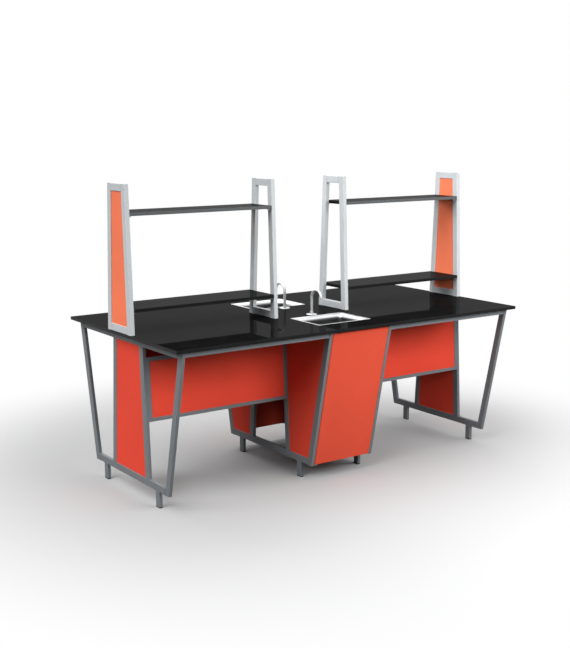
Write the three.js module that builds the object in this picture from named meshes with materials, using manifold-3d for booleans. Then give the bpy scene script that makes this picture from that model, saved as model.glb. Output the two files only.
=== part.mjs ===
// Two-sided laboratory bench with a reagent shelf over the middle, two sinks and two gooseneck taps.
// Millimetres, +Z up. The origin is on the floor, under the middle of the worktop.
// +X runs along the bench, -Y is the front and +Y the rear, which is the front turned by half a turn.
// Only the sinks and taps break that symmetry: on both sides they stand a little towards -X.

import * as THREE from 'three';
import { mergeVertices } from 'three/addons/utils/BufferGeometryUtils.js';
import Module from 'manifold-3d';

// Worktop board
const WORKTOP_LENGTH = 2370;
const WORKTOP_DEPTH = 1225;
const WORKTOP_HEIGHT = 900;
const WORKTOP_THICKNESS = 18;
const WORKTOP_CHAMFER = 1.5;

// Trestles of rectangular tube
const TUBE_FACE = 40;
const TUBE_DEPTH = 20;
const END_TRESTLE_FACE = 1138;
const MID_TRESTLE_FACE = 219;
const LEG_REACH_HIGH = 588;
const LEG_REACH_LOW = 421;
const POST_REACH_HIGH = 165;
const POST_REACH_LOW = 212;
const LOW_RAIL_HEIGHT = 90;
const FOOT_REACH = 321;

// Plastic glides pushed into the open feet
const GLIDE_HEIGHT = 6;
const GLIDE_PLUG_LENGTH = 24;
const GLIDE_WALL = 3;

// Long rails that tie the trestles together under the worktop edge
const RAIL_HEIGHT = 30;
const RAIL_DEPTH = 20;
const RAIL_REACH = 580;

// Boards that close the trestles
const BOARD_THICKNESS = 16;
const BOARD_RECESS = 2;

// Modesty frames of square tube, and their boards
const MODESTY_LOW = 437;
const MODESTY_HIGH = 781;
const MODESTY_TUBE = 20;

// Doors in front of the sink space, hung on two pivots
const DOOR_THICKNESS = 18;
const DOOR_SIDE_GAP = 2;
const DOOR_LOW = 95;
const DOOR_HIGH = 872;
const PIVOT_PLATE = 4.5;
const PIVOT_PLATE_LENGTH = 24;
const PIVOT_PIN_RADIUS = 3;
const PIVOT_PIN_LENGTH = 12;
const PIVOT_CLEARANCE = 0.5;

// Drop-in sinks, and how far they and the taps stand from the middle of the bench along X
const SINK_OFFSET = -9;
const SINK_LENGTH = 370;
const SINK_WIDTH = 275;
const SINK_REACH = 316;
const SINK_DEPTH = 190;
const SINK_SHEET = 2;
const SINK_FLANGE = 14;
const SINK_ROLL = 20;
const SINK_FLOOR_ROLL = 24;
const SINK_FLANGE_CORNER = 8;
const SINK_BOWL_CORNER = 24;
const SINK_SEAT = 12;
const DRAIN_RADIUS = 22;
const DRAIN_FLAT = 1;

// Wastes and bottle traps
const WASTE_FLANGE_RADIUS = 32;
const WASTE_FLANGE_HEIGHT = 3;
const WASTE_FLANGE_CHAMFER = 1;
const WASTE_RADIUS = 20.5;
const WASTE_BORE = 17;
const WASTE_DIP = 560;
const TRAP_LOW = 520;
const TRAP_SHOULDER = 640;
const TRAP_NECK = 652;
const TRAP_HIGH = 690;
const TRAP_RADIUS = 34;
const TRAP_NECK_RADIUS = 26;
const TRAP_WALL = 3;
const TRAP_OUTLET_HEIGHT = 610;
const TRAP_OUTLET_REACH = 130;
const TRAP_OUTLET_RADIUS = 18;

// Taps: fixed body through the worktop, swivelling gooseneck, quarter-turn valve lever below
const TAP_REACH = 136;
const TAP_HOLE_RADIUS = 15;
const TAP_SHANK_RADIUS = 13;
const TAP_DISC_RADIUS = 31;
const TAP_DISC_HEIGHT = 3;
const TAP_DISC_CHAMFER = 1.5;
const TAP_COLLAR_RADIUS = 9.5;
const TAP_COLLAR_HEIGHT = 12;
const TAP_COLLAR_FILLET = 2;
const TAP_SPIGOT_RADIUS = 5.4;
const TAP_SPIGOT_LENGTH = 14;
const TAP_PIPE_RADIUS = 8;
const TAP_PIPE_BORE = 6;
const TAP_BEND_HEIGHT = 100;
const TAP_BEND_RADIUS = 46.5;
const TAP_RING_HEIGHT = 8;
const TAP_RING_CHAMFER = 1;
const VALVE_HEIGHT = 85;
const VALVE_HALF = 24;
const VALVE_TAIL = 130;
const VALVE_TAIL_RADIUS = 8;
const LEVER_HUB_RADIUS = 8;
const LEVER_HUB_LENGTH = 12;
const LEVER_LENGTH = 55;
const LEVER_WIDTH = 12;
const LEVER_BLADE = 3;

// Reagent shelf: four uprights that narrow upwards, two boards in each bay
const UPRIGHT_TOP = 1689;
const UPRIGHT_HALF_LOW = 132;
const UPRIGHT_HALF_HIGH = 97;
const UPRIGHT_FACE = 40;
const UPRIGHT_DEPTH = 25;
const MID_UPRIGHT_FACE = 243;
const SHELF_THICKNESS = 18;
const LOWER_SHELF_TOP = 1038;
const UPPER_SHELF_TOP = 1541;

// Gap between neighbours, and how far joined forms and cutting tools run into or past a face
const GAP = 0.3;
const OVERLAP = 1;

// Facets of round forms
const TURNED_SIDES = 20;
const ROD_SIDES = 12;
const CORNER_STEPS = 4;
const ROLL_STEPS = 3;
const SPOUT_STEPS = 20;
const SPOUT_SEGMENTS = 6;
const TAP_HOLE_SEGMENTS = 6;
const DOOR_EDGE_SEGMENTS = 8;
const MERGE_TOLERANCE = 1e-4;

// Values that follow from the sizes above
const UNDERSIDE = WORKTOP_HEIGHT - WORKTOP_THICKNESS;
const LEG_SLOPE = (LEG_REACH_HIGH - LEG_REACH_LOW) / (UNDERSIDE - LOW_RAIL_HEIGHT);
const POST_SLOPE = (POST_REACH_LOW - POST_REACH_HIGH) / (UNDERSIDE - LOW_RAIL_HEIGHT);
const LEG_ANGLE = Math.atan(LEG_SLOPE);
const POST_ANGLE = Math.atan(POST_SLOPE);
const LEG_ACROSS = TUBE_FACE / Math.cos(LEG_ANGLE);
const POST_ACROSS = TUBE_FACE / Math.cos(POST_ANGLE);
const TOP_RAIL_LOW = UNDERSIDE - TUBE_FACE;
const LOW_RAIL_TOP = LOW_RAIL_HEIGHT + TUBE_FACE;
const END_BAY = END_TRESTLE_FACE - TUBE_DEPTH;
const SINK_BAY_HALF = MID_TRESTLE_FACE - TUBE_DEPTH;
const SINK_RIM = SINK_FLANGE + SINK_ROLL;
const sinkCorner = (inset) => SINK_FLANGE_CORNER
  + (SINK_BOWL_CORNER - SINK_FLANGE_CORNER) * Math.min(inset / SINK_RIM, 1);
const legReach = (z) => LEG_REACH_LOW + LEG_SLOPE * (z - LOW_RAIL_HEIGHT);
const postReach = (z) => POST_REACH_LOW - POST_SLOPE * (z - LOW_RAIL_HEIGHT);
const uprightHalf = (z) => UPRIGHT_HALF_LOW
  - (UPRIGHT_HALF_LOW - UPRIGHT_HALF_HIGH) * (z - WORKTOP_HEIGHT) / (UPRIGHT_TOP - WORKTOP_HEIGHT);

// Finishes
function finish(color, roughness, metalness) {
  return () => new THREE.MeshStandardMaterial({ color, roughness, metalness });
}
const blackResin = finish(0x161616, 0.12, 0.0);
const greyPaint = finish(0x74797e, 0.45, 0.2);
const silverPaint = finish(0xb6bcc1, 0.4, 0.3);
const redLaminate = finish(0xdc4f38, 0.5, 0.0);
const stainless = finish(0xd8dadb, 0.18, 1.0);
const chrome = finish(0xe4e6e8, 0.08, 1.0);
const blackPlastic = finish(0x1c1c1d, 0.6, 0.0);
const whitePlastic = finish(0xe8e8e4, 0.5, 0.0);

// Joining and cutting closed meshes
const wasm = await Module();
wasm.setup();

function toSolid(geometry) {
  const bare = geometry.clone();
  bare.deleteAttribute('normal');
  bare.deleteAttribute('uv');
  const merged = mergeVertices(bare, MERGE_TOLERANCE);
  return new wasm.Manifold(new wasm.Mesh({
    numProp: 3,
    vertProperties: new Float32Array(merged.attributes.position.array),
    triVerts: new Uint32Array(merged.index.array),
  }));
}

function toGeometry(solid) {
  const { vertProperties, triVerts } = solid.getMesh();
  const geometry = new THREE.BufferGeometry();
  geometry.setAttribute('position', new THREE.BufferAttribute(new Float32Array(vertProperties), 3));
  geometry.setIndex(new THREE.BufferAttribute(new Uint32Array(triVerts), 1));
  return geometry;
}

function join(first, ...others) {
  return toGeometry(others.reduce((sum, other) => sum.add(toSolid(other)), toSolid(first)));
}

function cut(first, ...tools) {
  return toGeometry(tools.reduce((rest, tool) => rest.subtract(toSolid(tool)), toSolid(first)));
}

// Basic forms
function block(low, high) {
  const size = high.map((value, axis) => value - low[axis]);
  const middle = high.map((value, axis) => (value + low[axis]) / 2);
  return new THREE.BoxGeometry(...size).translate(...middle);
}

function outline(points) {
  return new THREE.Shape(points.map(([a, b]) => new THREE.Vector2(a, b)));
}

// A plate drawn in Y and Z, with holes, as thick as the given length along +X.
function plateAcross(points, holes, thickness) {
  const shape = outline(points);
  shape.holes = holes.map(outline);
  const plate = new THREE.ExtrudeGeometry(shape, { depth: thickness, bevelEnabled: false });
  const [alongY, alongZ, alongX] = [[0, 1, 0], [0, 0, 1], [1, 0, 0]].map((v) => new THREE.Vector3(...v));
  return plate.applyMatrix4(new THREE.Matrix4().makeBasis(alongY, alongZ, alongX));
}

// A plate drawn in X and Z, with holes, reaching the given thickness along +Y from the XZ plane.
function plateAlong(points, holes, thickness) {
  const shape = outline(points);
  shape.holes = holes.map(outline);
  const plate = new THREE.ExtrudeGeometry(shape, { depth: thickness, bevelEnabled: false });
  return plate.rotateX(Math.PI / 2).translate(0, thickness, 0);
}

const rectangle = (left, right, low, high) => [[left, low], [right, low], [right, high], [left, high]];

// A turned form about the Z axis, from [radius, height] pairs going upwards round the section.
function turned(profile) {
  const points = profile.map(([radius, height]) => new THREE.Vector2(radius, height));
  return new THREE.LatheGeometry(points, TURNED_SIDES).rotateX(Math.PI / 2);
}

// A round bar standing on the XY plane.
function rod(radius, length) {
  const bar = new THREE.CylinderGeometry(radius, radius, length, ROD_SIDES);
  return bar.rotateX(Math.PI / 2).translate(0, 0, length / 2);
}

// A rounded rectangle of points, corner by corner, in X and Y.
function roundedLoop(halfX, halfY, radius) {
  const loop = [];
  for (let corner = 0; corner < 4; corner += 1) {
    const signX = corner === 0 || corner === 3 ? 1 : -1;
    const signY = corner < 2 ? 1 : -1;
    for (let step = 0; step <= CORNER_STEPS; step += 1) {
      const angle = (corner + step / CORNER_STEPS) * Math.PI / 2;
      const x = signX * (halfX - radius) + radius * Math.cos(angle);
      const y = signY * (halfY - radius) + radius * Math.sin(angle);
      loop.push([x, y]);
    }
  }
  return loop;
}

// The sink's outline, drawn in from the edge of its flange.
function sinkLoop(inset) {
  return roundedLoop(SINK_LENGTH / 2 - inset, SINK_WIDTH / 2 - inset, sinkCorner(inset));
}

// A closed skin over loops of equal length, where the last loop joins the first.
function loopedSkin(loops) {
  const count = loops[0].length;
  const index = [];
  loops.forEach((loop, ring) => {
    const next = (ring + 1) % loops.length;
    for (let k = 0; k < count; k += 1) {
      const a = ring * count + k;
      const b = ring * count + (k + 1) % count;
      const c = next * count + k;
      const d = next * count + (k + 1) % count;
      index.push(a, d, b, a, c, d);
    }
  });
  const geometry = new THREE.BufferGeometry();
  geometry.setAttribute('position', new THREE.Float32BufferAttribute(loops.flat(2), 3));
  geometry.setIndex(index);
  return geometry;
}

const bench = new THREE.Group();

function piece(parent, name, geometry, material) {
  const mesh = new THREE.Mesh(geometry, material());
  mesh.name = name;
  parent.add(mesh);
  return mesh;
}

function groupAt(parent, x, y, z) {
  const group = new THREE.Group();
  group.position.set(x, y, z);
  parent.add(group);
  return group;
}

// Worktop: one board with two sink cut-outs and two tap holes
function worktopGeometry() {
  const halfLength = WORKTOP_LENGTH / 2;
  const halfDepth = WORKTOP_DEPTH / 2;
  const shape = outline(rectangle(-halfLength, halfLength, -halfDepth, halfDepth));
  for (const side of [-1, 1]) {
    const loop = sinkLoop(SINK_SEAT);
    shape.holes.push(outline(loop.map(([x, y]) => [x + SINK_OFFSET, y + side * SINK_REACH])));
    const tapHole = new THREE.Path();
    tapHole.absarc(SINK_OFFSET, side * TAP_REACH, TAP_HOLE_RADIUS, 0, Math.PI * 2);
    shape.holes.push(tapHole);
  }
  const board = new THREE.ExtrudeGeometry(shape, {
    depth: WORKTOP_THICKNESS - 2 * WORKTOP_CHAMFER,
    bevelThickness: WORKTOP_CHAMFER,
    bevelSize: WORKTOP_CHAMFER,
    bevelOffset: -WORKTOP_CHAMFER,
    bevelSegments: 1,
    curveSegments: TAP_HOLE_SEGMENTS,
  });
  return board.translate(0, 0, WORKTOP_CHAMFER);
}
piece(groupAt(bench, 0, 0, UNDERSIDE), 'worktop', worktopGeometry(), blackResin);

// Openings of a trestle: one between the posts, one on each side between post and leg
function betweenPosts(inset) {
  const low = LOW_RAIL_TOP + inset;
  const high = TOP_RAIL_LOW - inset;
  const halfLow = postReach(low) - POST_ACROSS - inset;
  const halfHigh = postReach(high) - POST_ACROSS - inset;
  return [[-halfLow, low], [halfLow, low], [halfHigh, high], [-halfHigh, high]];
}

function besidePost(side, inset) {
  const low = LOW_RAIL_TOP + inset;
  const high = TOP_RAIL_LOW - inset;
  const points = [
    [postReach(low) + inset, low],
    [legReach(low) - LEG_ACROSS - inset, low],
    [legReach(high) - LEG_ACROSS - inset, high],
    [postReach(high) + inset, high],
  ];
  return points.map(([y, z]) => [side * y, z]);
}

// Welded trestle: splayed legs, leaning posts, top and bottom rail and two feet
function trestleGeometry() {
  const rim = [
    [-LEG_REACH_LOW, LOW_RAIL_HEIGHT],
    [LEG_REACH_LOW, LOW_RAIL_HEIGHT],
    [LEG_REACH_HIGH, UNDERSIDE],
    [-LEG_REACH_HIGH, UNDERSIDE],
  ];
  const openings = [betweenPosts(0), besidePost(1, 0), besidePost(-1, 0)];
  const through = (points) => plateAcross(points, [], 2 * TUBE_DEPTH).translate(-TUBE_DEPTH / 2, 0, 0);
  const footAt = (side, wall, low, high) => {
    const middle = side * (FOOT_REACH - TUBE_FACE / 2);
    const reach = TUBE_FACE / 2 - wall;
    return block([wall, middle - reach, low], [TUBE_DEPTH - wall, middle + reach, high]);
  };
  const feet = [-1, 1].map((side) => footAt(side, 0, GLIDE_HEIGHT, LOW_RAIL_HEIGHT + OVERLAP));
  const socketTop = GLIDE_HEIGHT + GLIDE_PLUG_LENGTH + OVERLAP;
  const sockets = [-1, 1].map((side) => footAt(side, GLIDE_WALL, GLIDE_HEIGHT - OVERLAP, socketTop));
  return cut(join(plateAcross(rim, [], TUBE_DEPTH), ...feet), ...openings.map(through), ...sockets);
}

// Glide: a foot pad as large as the tube, with a plug inside it
function glideGeometry(side) {
  const middle = side * (FOOT_REACH - TUBE_FACE / 2);
  const pad = block([0, middle - TUBE_FACE / 2, 0], [TUBE_DEPTH, middle + TUBE_FACE / 2, GLIDE_HEIGHT]);
  const wall = GLIDE_WALL + GAP;
  const reach = TUBE_FACE / 2 - wall;
  const low = [wall, middle - reach, GLIDE_HEIGHT - OVERLAP];
  const high = [TUBE_DEPTH - wall, middle + reach, GLIDE_HEIGHT + GLIDE_PLUG_LENGTH];
  return join(pad, block(low, high));
}

const TRESTLES = [
  { name: 'left_end', x: -END_TRESTLE_FACE, end: true },
  { name: 'left_mid', x: -MID_TRESTLE_FACE, end: false },
  { name: 'right_mid', x: SINK_BAY_HALF, end: false },
  { name: 'right_end', x: END_BAY, end: true },
];
const SIDE_NAMES = [['front', -1], ['rear', 1]];

for (const { name, x, end } of TRESTLES) {
  const place = groupAt(bench, x, 0, 0);
  piece(place, `${name}_trestle`, trestleGeometry(), greyPaint);
  for (const [sideName, side] of SIDE_NAMES) {
    piece(place, `${name}_${sideName}_glide`, glideGeometry(side), blackPlastic);
  }
  const boards = groupAt(place, BOARD_RECESS, 0, 0);
  if (end) {
    piece(boards, `${name}_panel`, plateAcross(betweenPosts(GAP), [], BOARD_THICKNESS), redLaminate);
  } else {
    for (const [sideName, side] of SIDE_NAMES) {
      const board = plateAcross(besidePost(side, GAP), [], BOARD_THICKNESS);
      piece(boards, `${name}_${sideName}_side_panel`, board, redLaminate);
    }
  }
}

// Modesty frame and board of one bay, in the plane of the posts' outer faces
function modesty(parent, bay, left, right) {
  const leaning = groupAt(parent, 0, -postReach(MODESTY_LOW), MODESTY_LOW);
  leaning.rotation.x = -POST_ANGLE;
  const height = (MODESTY_HIGH - MODESTY_LOW) / Math.cos(POST_ANGLE);
  const rim = rectangle(left + GAP, right - GAP, 0, height);
  const inner = (inset) => rectangle(left + GAP + inset, right - GAP - inset, inset, height - inset);
  const frame = plateAlong(rim, [inner(MODESTY_TUBE)], MODESTY_TUBE);
  piece(leaning, `${bay}_modesty_frame`, frame, greyPaint);
  const board = plateAlong(inner(MODESTY_TUBE + GAP), [], BOARD_THICKNESS).translate(0, BOARD_RECESS, 0);
  piece(leaning, `${bay}_modesty_panel`, board, redLaminate);
}

// Sink door between the middle legs, flush with their sloping faces, and its two pivots
function sinkDoor(parent, side) {
  const sloping = groupAt(parent, 0, -legReach(DOOR_LOW), DOOR_LOW);
  sloping.rotation.x = LEG_ANGLE;
  const height = (DOOR_HIGH - DOOR_LOW) / Math.cos(LEG_ANGLE);
  const half = SINK_BAY_HALF - DOOR_SIDE_GAP;
  const middle = DOOR_THICKNESS / 2;
  const pivot = -(half - middle);
  const section = new THREE.Shape();
  section.moveTo(pivot, 0);
  section.lineTo(half, 0);
  section.lineTo(half, DOOR_THICKNESS);
  section.lineTo(pivot, DOOR_THICKNESS);
  section.absarc(pivot, middle, middle, Math.PI / 2, Math.PI * 3 / 2);
  const slab = new THREE.ExtrudeGeometry(section, {
    depth: height,
    bevelEnabled: false,
    curveSegments: DOOR_EDGE_SEGMENTS,
  });
  const drilling = PIVOT_PIN_LENGTH + PIVOT_CLEARANCE;
  const boring = rod(PIVOT_PIN_RADIUS + PIVOT_CLEARANCE, drilling + OVERLAP);
  const drill = boring.translate(pivot, middle, -OVERLAP);
  const upperDrill = drill.clone().translate(0, 0, height - drilling + OVERLAP);
  const door = cut(slab, drill, upperDrill);
  piece(sloping, `${side}_sink_door`, door, redLaminate);

  const plateLow = [-SINK_BAY_HALF, 0, -PIVOT_CLEARANCE - PIVOT_PLATE];
  const plateHigh = [-SINK_BAY_HALF + PIVOT_PLATE_LENGTH, DOOR_THICKNESS, -PIVOT_CLEARANCE];
  const pinReach = PIVOT_PIN_LENGTH + PIVOT_CLEARANCE + OVERLAP;
  const pin = rod(PIVOT_PIN_RADIUS, pinReach).translate(pivot, middle, -PIVOT_CLEARANCE - OVERLAP);
  const lower = join(block(plateLow, plateHigh), pin);
  piece(sloping, `${side}_door_lower_pivot`, lower, greyPaint);
  const liftPlate = height + 2 * PIVOT_CLEARANCE + PIVOT_PLATE;
  const hangPin = height - PIVOT_PIN_LENGTH + PIVOT_CLEARANCE;
  const upperPlate = block(plateLow, plateHigh).translate(0, 0, liftPlate);
  const upperPin = rod(PIVOT_PIN_RADIUS, PIVOT_PIN_LENGTH + OVERLAP).translate(pivot, middle, hangPin);
  piece(sloping, `${side}_door_upper_pivot`, join(upperPlate, upperPin), greyPaint);
}

// Pressed sink: flat flange, rolled rim, straight walls and a floor with a drain hole, one sheet thick
function sinkFace(depth) {
  const rings = [];
  for (let step = 0; step <= ROLL_STEPS; step += 1) {
    const angle = step / ROLL_STEPS * Math.PI / 2;
    const radius = SINK_ROLL - depth;
    const z = SINK_SHEET - SINK_ROLL + radius * Math.cos(angle);
    rings.push([SINK_FLANGE + radius * Math.sin(angle), z]);
  }
  for (let step = 0; step <= ROLL_STEPS; step += 1) {
    const angle = step / ROLL_STEPS * Math.PI / 2;
    const radius = SINK_FLOOR_ROLL + depth;
    const inset = SINK_RIM + SINK_FLOOR_ROLL - radius * Math.cos(angle);
    rings.push([inset, SINK_FLOOR_ROLL - SINK_DEPTH - radius * Math.sin(angle)]);
  }
  return rings.map(([inset, z]) => sinkLoop(inset).map(([x, y]) => [x, y, z]));
}

function sinkGeometry() {
  const edge = [SINK_SHEET, 0].map((z) => sinkLoop(0).map(([x, y]) => [x, y, z]));
  const hole = roundedLoop(DRAIN_RADIUS, DRAIN_RADIUS, DRAIN_RADIUS - DRAIN_FLAT);
  const floors = [-SINK_DEPTH, -SINK_DEPTH - SINK_SHEET];
  const drain = floors.map((z) => hole.map(([x, y]) => [x, y, z]));
  return loopedSkin([drain[0], ...sinkFace(0).reverse(), ...edge, ...sinkFace(SINK_SHEET), drain[1]]);
}

// Waste: a flange on the sink floor and a tail that dips into the trap
function wasteGeometry() {
  const seat = WORKTOP_HEIGHT - SINK_DEPTH + GAP;
  return turned([
    [WASTE_BORE, WASTE_DIP],
    [WASTE_RADIUS, WASTE_DIP],
    [WASTE_RADIUS, seat],
    [WASTE_FLANGE_RADIUS, seat],
    [WASTE_FLANGE_RADIUS - WASTE_FLANGE_CHAMFER, seat + WASTE_FLANGE_HEIGHT],
    [WASTE_BORE, seat + WASTE_FLANGE_HEIGHT],
    [WASTE_BORE, WASTE_DIP],
  ]);
}

// Bottle trap: a hollow cup under the waste, with an outlet towards the middle of the bench
function trapGeometry() {
  const outlet = (radius) => {
    const pipe = rod(radius, TRAP_OUTLET_REACH).rotateX(-Math.PI / 2);
    return pipe.translate(0, 0, TRAP_OUTLET_HEIGHT);
  };
  const cup = turned([
    [0, TRAP_LOW],
    [TRAP_RADIUS, TRAP_LOW],
    [TRAP_RADIUS, TRAP_SHOULDER],
    [TRAP_NECK_RADIUS, TRAP_NECK],
    [TRAP_NECK_RADIUS, TRAP_HIGH],
    [0, TRAP_HIGH],
  ]);
  const neckBore = WASTE_RADIUS + 2 * GAP;
  const hollow = turned([
    [0, TRAP_LOW + TRAP_WALL],
    [TRAP_RADIUS - TRAP_WALL, TRAP_LOW + TRAP_WALL],
    [TRAP_RADIUS - TRAP_WALL, TRAP_SHOULDER - TRAP_WALL],
    [neckBore, TRAP_NECK - TRAP_WALL],
    [neckBore, TRAP_HIGH + OVERLAP],
    [0, TRAP_HIGH + OVERLAP],
  ]);
  const pipeBore = outlet(TRAP_OUTLET_RADIUS - TRAP_WALL).translate(0, OVERLAP, 0);
  return cut(join(cup, outlet(TRAP_OUTLET_RADIUS)), hollow, pipeBore);
}

// Tap body: disc on the worktop, shank through it, collar with a spigot above, valve and tail below
function tapBodyGeometry() {
  return turned([
    [0, -VALVE_TAIL],
    [VALVE_TAIL_RADIUS, -VALVE_TAIL],
    [VALVE_TAIL_RADIUS, -VALVE_HEIGHT - VALVE_HALF],
    [TAP_SHANK_RADIUS, -VALVE_HEIGHT - VALVE_HALF],
    [TAP_SHANK_RADIUS, 0],
    [TAP_DISC_RADIUS, 0],
    [TAP_DISC_RADIUS, TAP_DISC_HEIGHT - TAP_DISC_CHAMFER],
    [TAP_DISC_RADIUS - TAP_DISC_CHAMFER, TAP_DISC_HEIGHT],
    [TAP_COLLAR_RADIUS + TAP_COLLAR_FILLET, TAP_DISC_HEIGHT],
    [TAP_COLLAR_RADIUS, TAP_DISC_HEIGHT + TAP_COLLAR_FILLET],
    [TAP_COLLAR_RADIUS, TAP_COLLAR_HEIGHT],
    [TAP_SPIGOT_RADIUS, TAP_COLLAR_HEIGHT],
    [TAP_SPIGOT_RADIUS, TAP_COLLAR_HEIGHT + TAP_SPIGOT_LENGTH],
    [0, TAP_COLLAR_HEIGHT + TAP_SPIGOT_LENGTH],
  ]);
}

// Gooseneck centre line: straight up, then half a circle towards the sink
class Gooseneck extends THREE.Curve {
  getPoint(t) {
    const start = TAP_COLLAR_HEIGHT + GAP;
    const rise = TAP_BEND_HEIGHT - start;
    const along = t * (rise + Math.PI * TAP_BEND_RADIUS);
    if (along <= rise) return new THREE.Vector3(0, 0, start + along);
    const angle = (along - rise) / TAP_BEND_RADIUS;
    const y = -TAP_BEND_RADIUS * (1 - Math.cos(angle));
    return new THREE.Vector3(0, y, TAP_BEND_HEIGHT + TAP_BEND_RADIUS * Math.sin(angle));
  }
}

function spoutGeometry() {
  const section = new THREE.Shape().absarc(0, 0, TAP_PIPE_RADIUS, 0, Math.PI * 2);
  section.holes.push(new THREE.Path().absarc(0, 0, TAP_PIPE_BORE, 0, Math.PI * 2));
  const pipe = new THREE.ExtrudeGeometry(section, {
    extrudePath: new Gooseneck(),
    steps: SPOUT_STEPS,
    curveSegments: SPOUT_SEGMENTS,
    bevelEnabled: false,
  });
  const low = TAP_COLLAR_HEIGHT + GAP;
  const inside = (TAP_PIPE_RADIUS + TAP_PIPE_BORE) / 2;
  const ring = turned([
    [inside, low],
    [TAP_COLLAR_RADIUS, low],
    [TAP_COLLAR_RADIUS, low + TAP_RING_HEIGHT - TAP_RING_CHAMFER],
    [TAP_COLLAR_RADIUS - TAP_RING_CHAMFER, low + TAP_RING_HEIGHT],
    [inside, low + TAP_RING_HEIGHT],
    [inside, low],
  ]);
  return join(pipe, ring);
}

// Valve lever: a hub on the side of the valve and a flat blade hanging from it
function leverGeometry() {
  const hub = rod(LEVER_HUB_RADIUS, LEVER_HUB_LENGTH).rotateY(Math.PI / 2);
  const low = [LEVER_HUB_LENGTH - LEVER_BLADE, -LEVER_WIDTH / 2, -LEVER_LENGTH];
  return join(hub, block(low, [LEVER_HUB_LENGTH, LEVER_WIDTH / 2, 0]));
}

// Each long side of the bench, built as the front and turned round for the rear
const SIDES = [
  { side: 'front', turn: 0, near: 'left', far: 'right', offset: SINK_OFFSET },
  { side: 'rear', turn: Math.PI, near: 'right', far: 'left', offset: -SINK_OFFSET },
];

for (const { side, turn, near, far, offset } of SIDES) {
  const half = groupAt(bench, 0, 0, 0);
  half.rotation.z = turn;
  const bays = [[near, -END_BAY, -MID_TRESTLE_FACE], [far, MID_TRESTLE_FACE, END_BAY]];
  for (const [bay, left, right] of bays) {
    const railLow = [left + GAP, -RAIL_REACH, UNDERSIDE - RAIL_HEIGHT];
    const railHigh = [right - GAP, RAIL_DEPTH - RAIL_REACH, UNDERSIDE];
    piece(half, `${side}_${bay}_rail`, block(railLow, railHigh), greyPaint);
    modesty(half, `${side}_${bay}`, left, right);
  }
  sinkDoor(half, side);

  piece(groupAt(half, offset, -SINK_REACH, WORKTOP_HEIGHT), `${side}_sink`, sinkGeometry(), stainless);
  const drainLine = groupAt(half, offset, -SINK_REACH, 0);
  piece(drainLine, `${side}_sink_waste`, wasteGeometry(), stainless);
  piece(drainLine, `${side}_sink_trap`, trapGeometry(), whitePlastic);

  const tap = groupAt(half, offset, -TAP_REACH, WORKTOP_HEIGHT);
  piece(tap, `${side}_tap_body`, tapBodyGeometry(), chrome);
  piece(tap, `${side}_tap_spout`, spoutGeometry(), chrome);
  const valve = groupAt(tap, TAP_SHANK_RADIUS + GAP, 0, -VALVE_HEIGHT);
  piece(valve, `${side}_tap_lever`, leverGeometry(), redLaminate);
}

// Uprights of the reagent shelf, standing on the worktop
function uprightOpening(inset) {
  const low = WORKTOP_HEIGHT + UPRIGHT_FACE + inset;
  const high = UPRIGHT_TOP - UPRIGHT_FACE - inset;
  const halfLow = uprightHalf(low) - UPRIGHT_FACE - inset;
  const halfHigh = uprightHalf(high) - UPRIGHT_FACE - inset;
  return [[-halfLow, low], [halfLow, low], [halfHigh, high], [-halfHigh, high]];
}

const uprightRim = [
  [-UPRIGHT_HALF_LOW, WORKTOP_HEIGHT],
  [UPRIGHT_HALF_LOW, WORKTOP_HEIGHT],
  [UPRIGHT_HALF_HIGH, UPRIGHT_TOP],
  [-UPRIGHT_HALF_HIGH, UPRIGHT_TOP],
];
const UPRIGHT_END = WORKTOP_LENGTH / 2 - UPRIGHT_DEPTH;
const MID_UPRIGHT_BACK = MID_UPRIGHT_FACE + UPRIGHT_DEPTH;
const UPRIGHTS = [
  { name: 'left_end', x: -WORKTOP_LENGTH / 2, end: true },
  { name: 'left_mid', x: -MID_UPRIGHT_BACK, end: false },
  { name: 'right_mid', x: MID_UPRIGHT_FACE, end: false },
  { name: 'right_end', x: UPRIGHT_END, end: true },
];
for (const { name, x, end } of UPRIGHTS) {
  const place = groupAt(bench, x, 0, 0);
  const frame = plateAcross(uprightRim, [uprightOpening(0)], UPRIGHT_DEPTH);
  piece(place, `${name}_upright`, frame, silverPaint);
  if (end) {
    const board = plateAcross(uprightOpening(GAP), [], BOARD_THICKNESS);
    const recess = groupAt(place, (UPRIGHT_DEPTH - BOARD_THICKNESS) / 2, 0, 0);
    piece(recess, `${name}_upright_panel`, board, redLaminate);
  }
}

// Shelf boards between the end and middle uprights, as deep as the uprights are wide there
const SHELF_BAYS = [['left', -UPRIGHT_END, -MID_UPRIGHT_BACK], ['right', MID_UPRIGHT_BACK, UPRIGHT_END]];
const SHELF_LEVELS = [['lower', LOWER_SHELF_TOP], ['upper', UPPER_SHELF_TOP]];
for (const [bay, left, right] of SHELF_BAYS) {
  for (const [level, top] of SHELF_LEVELS) {
    const half = uprightHalf(top - SHELF_THICKNESS / 2);
    const board = block([left, -half, top - SHELF_THICKNESS], [right, half, top]);
    piece(bench, `${bay}_${level}_shelf`, board, blackResin);
  }
}

export default bench;
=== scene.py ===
import math

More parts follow.
